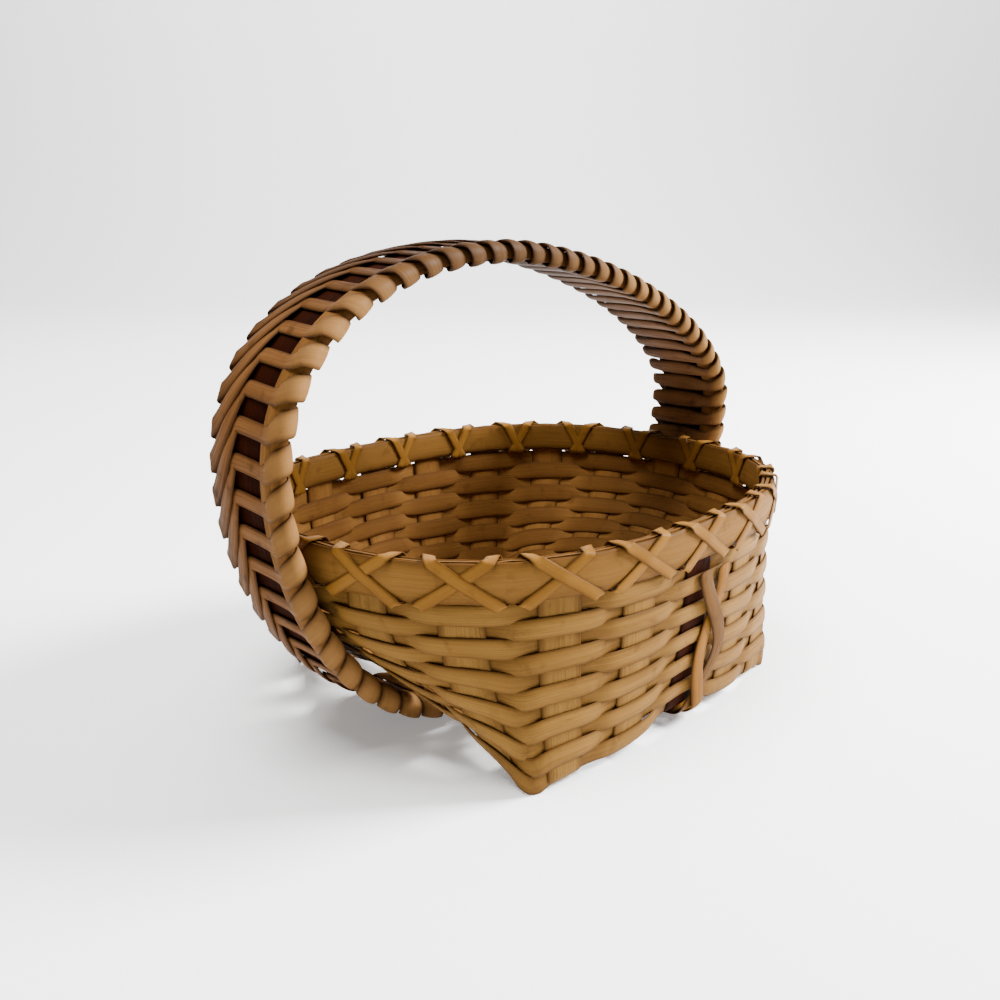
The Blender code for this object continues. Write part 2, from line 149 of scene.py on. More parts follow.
@dataclass(frozen=True)
class BasketForm:
    """The surface that the weaving follows, from the base's edge up to the rim."""

    rim_half_length: float = 104.5 * MM
    rim_half_width: float = 87.8 * MM
    rim_height: float = 80.2 * MM
    rim_roundness: float = 2.5
    base_half_length: float = 72.4 * MM
    base_half_width: float = 76.1 * MM
    base_pull_length: float = 6.0 * MM
    base_bow_width: float = 4.4 * MM
    base_back_draw: float = 9.5 * MM
    base_back_taper: float = 11.0 * MM
    base_lift_length: float = 21.0 * MM
    base_lift_width: float = 5.6 * MM
    base_arch_power: float = 1.2
    base_bump_power: float = 12.0
    base_corner_height: float = 0.7 * MM
    row_start: float = 3.2 * MM
    start_power: int = 8
    wall_bulge: float = 0.96
    hoop_zone: float = 14.7 * MM
    rows: int = 11
    splints_per_side: int = 5
    sides: int = 4
    fine_steps: int = 720
    profile_steps: int = 32

    @property
    def splints(self) -> int:
        """Number of wall splints round the basket."""
        return self.sides * self.splints_per_side

    @functools.cached_property
    def rim_curve(self) -> EvenCurve:
        """The rim's plan.

        Returns:
            The curve, once round from the direction of +X.
        """
        angle = np.linspace(0, 2 * np.pi, self.fine_steps + 1)
        way = np.stack([np.cos(angle), np.sin(angle)], axis=1)
        shares = np.abs(way / (self.rim_half_length, self.rim_half_width)) ** self.rim_roundness
        return EvenCurve.through(way * shares.sum(axis=1)[:, None] ** (-1 / self.rim_roundness))

    def base_point(self, x_share: float, y_share: float) -> Array:
        """A point of the base's middle surface.

        Args:
            x_share: Share of the half length towards +X.
            y_share: Share of the half width towards +Y.

        Returns:
            The point.
        """
        back = max(0.0, y_share) ** 2
        half_length = self.base_half_length - self.base_pull_length * (1 - y_share ** 2)
        half_width = self.base_half_width + self.base_bow_width * (1 - x_share ** 2)
        length_arch = 1 - min(1.0, abs(y_share)) ** self.base_arch_power
        width_arch = max(0.0, 1 - x_share ** 2) ** self.base_bump_power * y_share ** 2
        height = self.base_corner_height + self.base_lift_length * length_arch
        return np.array([x_share * (half_length - self.base_back_taper * back),
                         y_share * half_width - self.base_back_draw * back,
                         height + self.base_lift_width * width_arch])

    def base_edge(self, place: float) -> Array:
        """The point of the base's edge under a place.

        Args:
            place: Place round the basket.

        Returns:
            The point.
        """
        side, part = divmod(place % self.splints / self.splints_per_side, 1)
        return self.base_point(*((1, 2 * part - 1), (1 - 2 * part, 1), (-1, 1 - 2 * part),
                                 (2 * part - 1, -1))[int(side)])

    @functools.cache
    def profile(self, place: float) -> tuple[Array, Array]:
        """The wall's middle surface from the base's edge to the foot of the rim band.

        Args:
            place: Place round the basket.

        Returns:
            Points up the wall, and their distances from the base's edge.
        """
        low = self.base_edge(place)
        flat = self.rim_curve.at((place / self.splints_per_side - 0.5) / self.sides)
        high = np.array([*flat, self.rim_height - self.hoop_zone])
        share = np.linspace(0, 1, self.profile_steps + 1)
        points = low + (high - low) * (np.sin(share * np.pi / 2) ** self.wall_bulge)[:, None]
        points[:, 2] = low[2] + (high[2] - low[2]) * share
        return points, distances(points)

    def wall_length(self, place: float) -> float:
        """Length of the wall from the base's edge to the rim band."""
        return float(self.profile(round(place % self.splints, 6))[1][-1])

    def wall_point(self, place: float, distance: float) -> Array:
        """The middle surface of the wall, upright past the rim band's foot.

        Args:
            place: Place round the basket.
            distance: Distance up the wall.

        Returns:
            The point.
        """
        points, lengths = self.profile(round(place % self.splints, 6))
        return UP * max(0.0, distance - lengths[-1]) + [np.interp(distance, lengths, column)
                                                        for column in points.T]

    def wall_frame(self, place: float, distance: float) -> tuple[Array, Array, Array]:
        """Point of the wall with two directions.

        Args:
            place: Place round the basket.
            distance: Distance up the wall.

        Returns:
            The point, the direction round the wall and the outward normal.
        """
        aside, above = 0.06, 0.9 * MM
        share = distance / self.wall_length(place)
        ahead, behind = (self.wall_point(place + move, share * self.wall_length(place + move))
                         for move in (aside, -aside))
        upward = UP
        if share < 1:
            upward = unit(self.wall_point(place, distance + above)
                          - self.wall_point(place, max(distance - above, 0.0)))
        outward = unit(np.cross(unit(ahead - behind), upward))
        return self.wall_point(place, distance), np.cross(upward, outward), outward

    def corner_share(self, place: float | Array) -> float | Array:
        """How near a place is to a corner: 0 in the middle of a side and 1 at its ends."""
        return abs(place % self.splints_per_side / self.splints_per_side - 0.5) * 2

    def start_at(self, place: float) -> float:
        """How far up the wall the weaving starts: low at the corners, clear of bends between."""
        return self.row_start * (1 - self.corner_share(place) ** self.start_power)

    def row_pitch(self, place: float) -> float:
        """Height of one weaver row along the wall."""
        return (self.wall_length(place) - self.start_at(place)) / self.rows

    def row_distance(self, place: float, row: float) -> float:
        """How far up the wall a row's middle lies."""
        return self.start_at(place) + (row + 0.5) * self.row_pitch(place)


@dataclass(frozen=True)
class HandleForm:
    """The line that the middle of the handle follows."""

    top_height: float = 169.0 * MM
    top_lean: float = 22.2 * MM
    waist_height: float = 101.2 * MM
    foot_height: float = 5.3 * MM
    reach: float = 121.1 * MM
    foot_flat: float = 45.0 * MM
    top_left_roundness: float = 2.24
    top_right_roundness: float = 1.62
    foot_roundness: float = 1.92
    rungs: int = 66
    swing: float = 0.15
    fine_steps: int = 1440
    look_ahead: float = 1 / 400

    @functools.cached_property
    def curve(self) -> EvenCurve:
        """The hoop in the plane of the handle.

        Returns:
            The curve of X and Z, from the right waist up.
        """
        angle = 2 * np.pi * np.arange(self.fine_steps + 1) / self.fine_steps
        side, top = np.where(np.cos(angle) < 0, -1, 1), np.sin(angle) >= 0
        middle = np.where(top, -self.top_lean, side * self.foot_flat)
        height = np.where(top, self.top_height, self.foot_height) - self.waist_height
        power = 2 / np.where(~top, self.foot_roundness,
                             np.where(side < 0, self.top_left_roundness, self.top_right_roundness))
        x_values = middle + (side * self.reach - middle) * np.abs(np.cos(angle)) ** power
        z_values = self.waist_height + height * np.abs(np.sin(angle)) ** power
        return EvenCurve.through(np.stack([x_values, z_values], axis=1))

    def frame(self, share: Array) -> tuple[Array, Array]:
        """Points of the hoop.

        Args:
            share: Shares of the hoop's length, counted from the right waist up over the top.

        Returns:
            The points and the outward normals there.
        """
        spot, zero = self.curve.at(share), np.zeros(len(share))
        flat = unit(self.curve.at(share + self.look_ahead) - self.curve.at(share - self.look_ahead))
        return (np.stack([spot[:, 0], zero, spot[:, 1]], axis=1),
                np.stack([flat[:, 1], zero, -flat[:, 0]], axis=1))


@dataclass(frozen=True)
class WoodFinish:
    """The look of one kind of splint."""

    name: str
    light: Triple
    dark: Triple
    # Colour of stains and darker edges, also used for painted shade.
    stain_and_shade: Triple = (0.030, 0.009, 0.001)
    grain: Grain = Grain.COARSE
    contrast: float = 0.65
    stained: float = 0.40
    roughness: float = 0.52
    bump: float = 0.40
    gloss: float = 0.03
    # Painted shade: how strongly the top of the handle is darkened by height.
    top_shade: float = 0.0
    worn: Triple | None = None


BODY = WoodFinish("wall_splint", (0.200, 0.104, 0.025), (0.098, 0.046, 0.009), grain=Grain.MEDIUM,
                  contrast=0.80, stained=0.30, roughness=0.55, bump=0.45)
WEFT = WoodFinish("weaver_splint", (0.212, 0.109, 0.025), (0.104, 0.048, 0.009), grain=Grain.FINE,
                  contrast=0.68, stained=0.50, roughness=0.50, bump=0.35)
# Inner faces: a copy of the wood with painted light, made lighter than the outer faces to make up for the
# dim light inside the basket.
INSIDE_PAINTED_LIGHT = WoodFinish("inside_splint", (0.230, 0.108, 0.026), (0.122, 0.051, 0.012), (0.048, 0.016, 0.003),
                    Grain.MEDIUM, contrast=0.60, stained=0.45, roughness=0.62, bump=0.35)
RIM = WoodFinish("rim_splint", (0.172, 0.082, 0.018), (0.100, 0.044, 0.008), grain=Grain.FINE,
                 contrast=0.50, stained=0.35, bump=0.30)
LASHING = WoodFinish("lashing_splint", (0.205, 0.094, 0.016), (0.112, 0.047, 0.007), (0.028, 0.008, 0.001),
                     Grain.FINE, contrast=0.50, stained=0.30, roughness=0.44, bump=0.30)
HANDLE = WoodFinish("handle_splint", (0.176, 0.076, 0.023), (0.074, 0.029, 0.008), (0.012, 0.004, 0.001),
                    contrast=0.75, stained=0.60, roughness=0.55, bump=0.45, top_shade=0.82,
                    worn=(0.205, 0.104, 0.030))
BAND = WoodFinish("cross_band_splint", (0.210, 0.090, 0.011), (0.095, 0.035, 0.004), (0.022, 0.007, 0.001))
BAND_DARK = WoodFinish("cross_band_dark_splint", (0.120, 0.054, 0.012), (0.056, 0.022, 0.005),
                       (0.012, 0.004, 0.001))
ROD = WoodFinish("handle_rod_splint", (0.185, 0.080, 0.017), (0.085, 0.033, 0.007), (0.014, 0.0045, 0.001),
                 roughness=0.60, top_shade=0.60)
DARK = WoodFinish("dark_core_splint", (0.022, 0.0045, 0.0010), (0.010, 0.0020, 0.0005),
                  (0.005, 0.0012, 0.0004), contrast=0.70, roughness=0.65, bump=0.50, gloss=0.015)


class NodeKit:
    """Adds nodes to one tree, fed with values or with the sockets of other nodes."""

    def __init__(self, tree: bpy.types.NodeTree) -> None:
        """Keep the tree."""
        self.tree = tree

    def feed(self, inputs: bpy.types.NodeInputs, feeds: dict[str | int, object]) -> None:
        """Give inputs their values, or links to other nodes.

        Args:
            inputs: The inputs of a node.
            feeds: A value or another node's socket for each, by its name or number.
        """
        for label, value in feeds.items():
            if isinstance(value, Socket):
                self.tree.links.new(value, inputs[label])
            else:
                inputs[label].default_value = value

    def add(self, kind: str, feeds: dict[str | int, object], **settings: object) -> bpy.types.Node:
        """Add a shader node.

        Args:
            kind: The node's type.
            feeds: What its inputs get.
            settings: Its own settings.

        Returns:
            The node.
        """
        node = self.tree.nodes.new("ShaderNode" + kind)
        for name, value in settings.items():
            setattr(node, name, value)
        self.feed(node.inputs, feeds)
        return node

    def spread(self, mask: Socket, low: float, high: float) -> Socket:
        """A mask spread evenly between two values."""
        return self.add("MapRange", {"Value": mask, "To Min": low, "To Max": high}).outputs["Result"]

    def rise(self, value: Socket, start: float, end: float) -> Socket:
        """A mask that rises softly while a value goes from its start to its end."""
        return self.add("MapRange", {"Value": value, "From Min": start, "From Max": end},
                        interpolation_type="SMOOTHSTEP").outputs["Result"]

    def noise(self, place: Socket, scale: float, detail: float, start: float, end: float,
              roughness: float = 0.5) -> Socket:
        """A mask that rises softly while the noise at a place goes from its start to its end."""
        feeds = {"Vector": place, "Scale": scale, "Detail": detail, "Roughness": roughness}
        return self.rise(self.add("TexNoise", feeds).outputs["Fac"], start, end)

    def mix(self, factor: Socket, first: object, second: object) -> Socket:
        """The colour between two colours or sockets, by the share of the second."""
        return self.add("Mix", {0: factor, 6: first, 7: second}, data_type="RGBA").outputs[2]


class WoodShop:
    """Makes the wood materials from their finishes."""

    # The last share is the strength of painted shade.
    tone_share, run_share, worn_share, edge_share, tucked_share = 0.40, 0.50, 0.60, 0.70, 0.85
    # Heights over which the painted shade on the handle's top rises.
    held_from, held_to = 146 * MM, 172 * MM
    smoother, rougher = 0.08, 0.14
    bump_depth, fibre_stretch = 0.15 * MM, 34.0

    def __init__(self) -> None:
        """Make the node group that all finishes share."""
        self.masks = self._masks()

    def _masks(self) -> bpy.types.NodeTree:
        """Make the group: fibres, streaks and slow runs along a splint, broad tones and small stains.

        Returns:
            The group.
        """
        group = bpy.data.node_groups.new("wood_masks", "ShaderNodeTree")
        for label, kind in (("Grain", "Vector"), ("Place", "Vector"), ("Across", "Float")):
            group.interface.new_socket(label, in_out="INPUT", socket_type="NodeSocket" + kind)
        for label in ("Fibre", "Streak", "Run", "Tone", "Stain"):
            group.interface.new_socket(label, in_out="OUTPUT", socket_type="NodeSocketFloat")
        kit, entry = NodeKit(group), group.nodes.new("NodeGroupInput").outputs
        grain, place = entry["Grain"], entry["Place"]
        scale = kit.add("CombineXYZ", {"X": entry["Across"], "Y": self.fibre_stretch}).outputs["Vector"]
        long = kit.add("VectorMath", {0: grain, 1: scale}, operation="MULTIPLY").outputs["Vector"]
        kit.feed(group.nodes.new("NodeGroupOutput").inputs, {
            "Fibre": kit.noise(long, 1.0, 4.0, 0.30, 0.70, roughness=0.6),
            "Streak": kit.noise(long, 0.23, 2.0, 0.30, 0.70, roughness=0.6),
            "Run": kit.noise(grain, 26.0, 1.0, 0.34, 0.66),
            "Tone": kit.noise(place, 34.0, 3.0, 0.32, 0.68),
            "Stain": kit.noise(place, 150.0, 3.0, 0.56, 0.80)})
        return group

    @functools.cache
    def material(self, finish: WoodFinish) -> bpy.types.Material:
        """Make a material, once: colours laid over the light wood by masks.

        Args:
            finish: The look.

        Returns:
            The material.
        """
        material = bpy.data.materials.new(finish.name)
        material.use_nodes = True
        kit = NodeKit(material.node_tree)
        place = kit.add("TexCoord", {}).outputs["Object"]
        grain = kit.add("UVMap", {}, uv_map="grain").outputs["UV"]
        masks = kit.add("Group", {"Grain": grain, "Place": place, "Across": finish.grain.value},
                        node_tree=self.masks).outputs
        edge, tucked, worn = (kit.add("Attribute", {}, attribute_name=name).outputs["Fac"]
                              for name in ("edge", "tucked", "worn"))
        layers = [(masks["Tone"], self.tone_share, finish.dark),
                  (masks["Run"], self.run_share, finish.dark),
                  (masks["Fibre"], finish.contrast, finish.dark),
                  (masks["Streak"], finish.contrast / 2, finish.light),
                  (masks["Stain"], finish.stained, finish.stain_and_shade)]
        if finish.worn:
            layers.append((worn, self.worn_share, finish.worn))
        # Painted shade: darker where a weaver passes behind a wall splint and over the handle's far half.
        layers += [(edge, self.edge_share, finish.stain_and_shade), (tucked, self.tucked_share, finish.stain_and_shade)]
        # Painted shade: the handle and its rod darken towards their top by height.
        if finish.top_shade:
            height = kit.add("SeparateXYZ", {"Vector": place}).outputs["Z"]
            layers.append((kit.rise(height, self.held_from, self.held_to), finish.top_shade, finish.stain_and_shade))
        colour = (*finish.light, 1.0)
        for mask, most, over in layers:
            colour = kit.mix(kit.spread(mask, 0.0, most), colour, (*over, 1.0))

        rough = kit.spread(masks["Fibre"], finish.roughness - self.smoother,
                           finish.roughness + self.rougher)
        bump = kit.add("Bump", {"Strength": finish.bump, "Distance": self.bump_depth,
                                "Height": masks["Fibre"]}).outputs["Normal"]
        kit.feed(material.node_tree.nodes["Principled BSDF"].inputs, {
            "Base Color": colour, "Roughness": rough, "Specular IOR Level": finish.gloss, "Normal": bump})
        return material


@dataclass
class Splint:
    """A strip of split wood laid along a path."""

    shop: WoodShop
    name: str
    node: str
    slot: str
    spots: Array
    normals: Array
    half_width: float | Array
    thickness: float
    outer: WoodFinish
    inner: WoodFinish | None = None
    crown: float = 0.0
    edge_share: float = 0.45
    closed: bool = False
    lean: float | Array = 0.0
    # Painted shade along the strip, from 0 to 1.
    tucked: float | Array = 0.0
    worn: float | Array = 0.0
    swell: float | Array = 0.0
    edge_from: float = 0.55
    grain_shift: float = 3.0
    rounding: int = 1

    def outline(self) -> list[Triple]:
        """The section, with thinner edges and its outer side crowned.

        Returns:
            Points round it and back: share of the half width, height, and share of the swell.
        """
        half = self.thickness / 2
        heights = {share: half * (self.edge_share if abs(share) > 0.9 else 1)
                   for share in (-0.98, -0.62, 0.0, 0.62, 0.98)}
        rows = [(share, height + self.crown * (1 - share * share), 1 - abs(share))
                for share, height in heights.items()]
        return rows + [(-share, -height, 0.0) for share, height in heights.items()] + rows[:1]

    def lay(self) -> None:
        """Make the strip from a flat grid, laid on its path, joined along its seam and rounded."""
        spots = self.spots
        if self.closed:
            runs = unit(np.roll(spots, -1, axis=0) - np.roll(spots, 1, axis=0))
        else:
            runs = unit(np.gradient(spots, axis=0))
        normals = unit(self.normals - (self.normals * runs).sum(1)[:, None] * runs)
        across = np.cross(normals, runs)
        lean, widths, swell, tucked, worn = (
            np.broadcast_to(values, (len(spots),))[:, None]
            for values in (self.lean, self.half_width, self.swell, self.tucked, self.worn))
        leaned = unit(across * np.cos(lean) + normals * np.sin(lean))
        normals = unit(normals * np.cos(lean) - across * np.sin(lean))
        rings = np.stack([spots + leaned * widths * share + normals * (height + swell * raised)
                          for share, height, raised in self.outline()], axis=1)
        masks = {"tucked": tucked[:, 0], "worn": worn[:, 0]}
        if self.closed:
            rings, spots = (np.concatenate([rows, rows[:1]]) for rows in (rings, spots))
            masks = {name: np.append(values, values[0]) for name, values in masks.items()}
        piece = self._grid(rings, distances(spots), masks)
        self._finish(piece)
        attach(piece, "root")
        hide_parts(self.node)
        LOG.info("laid %s, %d faces", self.name, len(piece.data.polygons))

    def _grid(self, rings: Array, along: Array, masks: dict[str, Array]) -> bpy.types.Object:
        """Make the mesh of the strip, with its grain, masks and materials.

        Args:
            rings: Places of the grid's corners, by station and by point of the section.
            along: Distance of each station along the strip.
            masks: For each station, from 0 to 1, how much painted shade it takes and how worn it is.

        Returns:
            The piece, still open along its seam.
        """
        rows, columns = rings.shape[:2]
        bpy.ops.object.select_all(action="DESELECT")
        bpy.ops.mesh.primitive_grid_add(x_subdivisions=columns - 1, y_subdivisions=rows - 1,
                                        size=2.0, calc_uvs=True)
        piece = bpy.context.object
        mesh = piece.data
        piece.name = mesh.name = self.name
        flat = np.empty(len(mesh.vertices) * 3)
        mesh.vertices.foreach_get("co", flat)
        flat = (flat.reshape(-1, 3) + 1) / 2
        column = np.rint(flat[:, 0] * (columns - 1)).astype(int)
        row = np.rint(flat[:, 1] * (rows - 1)).astype(int)
        mesh.vertices.foreach_set("co", rings[row, column].ravel())

        shares = np.abs([point[0] for point in self.outline()])[column]
        masks = {name: mask[row] for name, mask in masks.items()}
        masks["edge"] = np.clip((shares - self.edge_from) / (1 - self.edge_from), 0, 1)
        for name, values in masks.items():
            attribute = mesh.attributes.new(name, "FLOAT", "POINT")
            attribute.data.foreach_set("value", np.ascontiguousarray(values, dtype=np.float64))
        corners = np.empty(len(mesh.loops), dtype=np.int32)
        mesh.loops.foreach_get("vertex_index", corners)
        start = random.Random(self.name).random() * self.grain_shift
        girth = distances(rings[rows // 2])
        places = np.stack([girth[column[corners]], along[row[corners]] + start], axis=1)
        layer = mesh.uv_layers[0]
        layer.name = "grain"
        layer.data.foreach_set("uv", places.astype(np.float32).ravel())

        for finish in (self.outer, self.inner or self.outer):
            mesh.materials.append(self.shop.material(finish))
        face_columns = column[corners].reshape(-1, 4).min(axis=1)
        turned = (face_columns >= columns // 2) & (face_columns < columns - 2)
        mesh.polygons.foreach_set("material_index", turned.astype(np.int32))
        return piece

    def _finish(self, piece: bpy.types.Object) -> None:
        """Join the seam, close the ends, turn the faces outward, round the strip and keep it off the floor.

        Args:
            piece: The piece, active and in object mode.
        """
        bpy.ops.object.mode_set(mode="EDIT")
        bpy.ops.mesh.select_all(action="SELECT")
        bpy.ops.mesh.remove_doubles(threshold=1e-7)
        if not self.closed:
            bpy.ops.mesh.select_all(action="DESELECT")
            bpy.ops.mesh.select_mode(type="EDGE")
            bpy.ops.mesh.select_non_manifold(extend=False)
            bpy.ops.mesh.edge_face_add()
        bpy.ops.mesh.select_all(action="SELECT")
        bpy.ops.mesh.normals_make_consistent(inside=False)
        bpy.ops.object.mode_set(mode="OBJECT")
        rounded = piece.modifiers.new("rounding", "SUBSURF")
        rounded.levels = rounded.render_levels = self.rounding
        bpy.ops.object.modifier_apply(modifier=rounded.name)
        places = np.empty(len(piece.data.vertices) * 3)
        piece.data.vertices.foreach_get("co", places)
        places[2::3] = np.maximum(places[2::3], 0.0)
        piece.data.vertices.foreach_set("co", places)
        bpy.ops.object.shade_smooth()


@dataclass
class WallSplints:
    """The ten wide splints that go up one wall, across the base and up the other."""

    shop: WoodShop
    form: BasketForm
    width: float = 15.4 * MM
    thickness: float = 1.0 * MM
    base_lift: float = 0.62 * MM
    base_wave_power: float = 0.6
    push: float = 0.22 * MM
    foot_gap: float = 0.35 * MM
    top_drop: float = 3.0 * MM
    steps_per_row: int = 4
    base_steps: int = 60
    smoothings: int = 4
    smooth_reach: float = 1.2 * MM

    def build(self) -> None:
        """Lay all ten."""
        for number, direction in itertools.product(range(self.form.splints_per_side), Direction):
            self._lay(number, direction)

    def _wall(self, place: float) -> Array:
        """The part up one wall, pressed in and out by the weavers.

        Args:
            place: Place round the basket.

        Returns:
            Rows of spot and normal, from the base's edge up.
        """
        form, rows = self.form, []
        length, start, pitch = form.wall_length(place), form.start_at(place), form.row_pitch(place)
        top = length + form.hoop_zone - self.top_drop
        for distance in np.arange(self.foot_gap, top, pitch / self.steps_per_row):
            spot, _, outward = form.wall_frame(place, float(distance))
            row, pressed = (distance - start) / pitch - 0.5, start < distance < length
            press = -self.push * math.cos(math.pi * (row + int(place))) if pressed else 0.0
            rows.append(np.concatenate([spot + outward * press, outward]))
        return np.array(rows)

    def _base(self, number: int, direction: Direction) -> Array:
        """The part under the base, over and under the splints that cross.

        Args:
            number: Number of the splint in its direction, from 0.
            direction: The way that it runs.

        Returns:
            Rows of spot and normal.
        """
        form, rows, small = self.form, [], 0.03
        lengthwise = direction is Direction.LENGTH
        fixed = 2 * (number + 0.5) / form.splints_per_side - 1
        for share in np.linspace(-1, 1, self.base_steps + 1)[1:-1]:
            x_share, y_share = (share, fixed) if lengthwise else (fixed, share)
            spot = form.base_point(x_share, y_share)
            upward = unit(np.cross(form.base_point(x_share + small, y_share) - spot,
                                   form.base_point(x_share, y_share + small) - spot))
            wave = math.cos(math.pi * ((share + 1) * form.splints_per_side / 2 - 0.5 + number))
            lift = self.base_lift * math.copysign(abs(wave) ** self.base_wave_power, wave)
            rows.append(np.concatenate([spot + upward * (lift if lengthwise else -lift), -upward]))
        return np.array(rows)

    def _lay(self, number: int, direction: Direction) -> None:
        """Lay one splint from rim to rim.

        Args:
            number: Number of the splint in its direction, from 0.
            direction: The way that it runs.
        """
        side, lengthwise = self.form.splints_per_side, direction is Direction.LENGTH
        last = side - 1 - number
        first_place = (2 * side + last if lengthwise else 3 * side + number) + 0.5
        last_place = (number if lengthwise else side + last) + 0.5
        both = np.concatenate([self._wall(first_place)[::-1], self._base(number, direction),
                               self._wall(last_place)])
        kept = both.copy()
        for _ in range(self.smoothings):
            both[1:-1] = both[1:-1] * 0.5 + (both[:-2] + both[2:]) * 0.25
        moved = (both - kept)[:, :3]
        length = np.maximum(np.linalg.norm(moved, axis=1, keepdims=True), 1e-9)
        both[:, :3] = kept[:, :3] + moved * np.minimum(1, self.smooth_reach / length)
        core = not lengthwise and number == side // 2
        label = f"{direction.value}_{number + 1}"
        Splint(self.shop, f"splint_{label}", "cross_core_splint" if core else f"upright_splint_{label}",
               "dark_core_splint" if core else "upright_splint", both[:, :3], both[:, 3:],
               self.width / 2, self.thickness, DARK if core else BODY, INSIDE_PAINTED_LIGHT).lay()


@dataclass
class WeaverRows:
    """The narrow splints that go round the basket, outside one wall splint and inside the next."""

    shop: WoodShop
    form: BasketForm
    thickness: float = 0.9 * MM
    crown: float = 0.35 * MM
    edge_share: float = 0.35
    swing: float = 0.96 * MM
    width_share: float = 1.26
    outside_share: float = 0.05
    inside_share: float = 0.24
    top_share: float = 0.10
    steps_per_splint: int = 12
    square: float = 0.16
    waver: float = 0.16 * MM
    waver_knots: int = 9
    foot_drop: float = 2.6 * MM
    foot_zone: float = 0.45
    corner_from: float = 0.82
    corner_pull: float = 0.6
    softenings: int = 3
    # Painted shade where the row passes behind a wall splint.
    shade_from: float = 0.6
    shade_span: float = 1.3
    shade_most: float = 0.55

    def build(self) -> None:
        """Lay all rows."""
        for row in range(self.form.rows):
            self._lay(row)

    def _lay(self, row: int) -> None:
        """Lay one row as a closed ring.

        Args:
            row: Number of the row, from 0 at the base.
        """
        form = self.form
        count = form.splints * self.steps_per_splint
        places = np.arange(count) / self.steps_per_splint
        corner = form.corner_share(places)
        near = np.maximum(0.0, 1 - (1 - corner) * form.splints_per_side / self.foot_zone)
        shifts = smooth_noise(count, self.waver_knots, row) * self.waver
        shifts -= self.foot_drop * (1 - row / form.rows) * near ** 2
        bare = np.cos(np.pi * (places - 0.5 + row))
        waves = bare * np.sqrt((1 + self.square) / (bare * bare + self.square))
        shares = self.width_share + (self.top_share if row == form.rows - 1 else 0.0)
        shares += np.where(waves > 0, self.outside_share, self.inside_share) * np.sqrt(np.abs(bare))
        spots, normals, pitches = [], [], []
        for place, shift, wave in zip(places.tolist(), shifts, waves):
            distance = form.row_distance(place, row) + shift
            spot, _, outward = form.wall_frame(place, max(distance, 0.0))
            spots.append(spot + UP * min(distance, 0.0) + outward * self.swing * wave)
            normals.append(outward)
            pitches.append(form.row_pitch(place))
        spots, normals = np.array(spots), np.array(normals)
        soften = np.clip((corner - self.corner_from) / (1 - self.corner_from), 0, 1)[:, None]
        for _ in range(self.softenings):
            spots = spots + (beside(spots) - spots) * soften * self.corner_pull
            normals = unit(normals + (beside(normals) - normals) * soften)
        # Painted shade, strongest where the row lies behind a wall splint.
        tucked = np.clip((self.shade_from - bare) / self.shade_span, 0, 1) * self.shade_most
        Splint(self.shop, f"weaver_{row + 1:02d}", f"weaver_row_{row + 1:02d}", "weaver_splint", spots,
               normals, np.array(pitches) * shares / 2, self.thickness, WEFT, INSIDE_PAINTED_LIGHT, self.crown,
               self.edge_share, closed=True, tucked=tucked).lay()


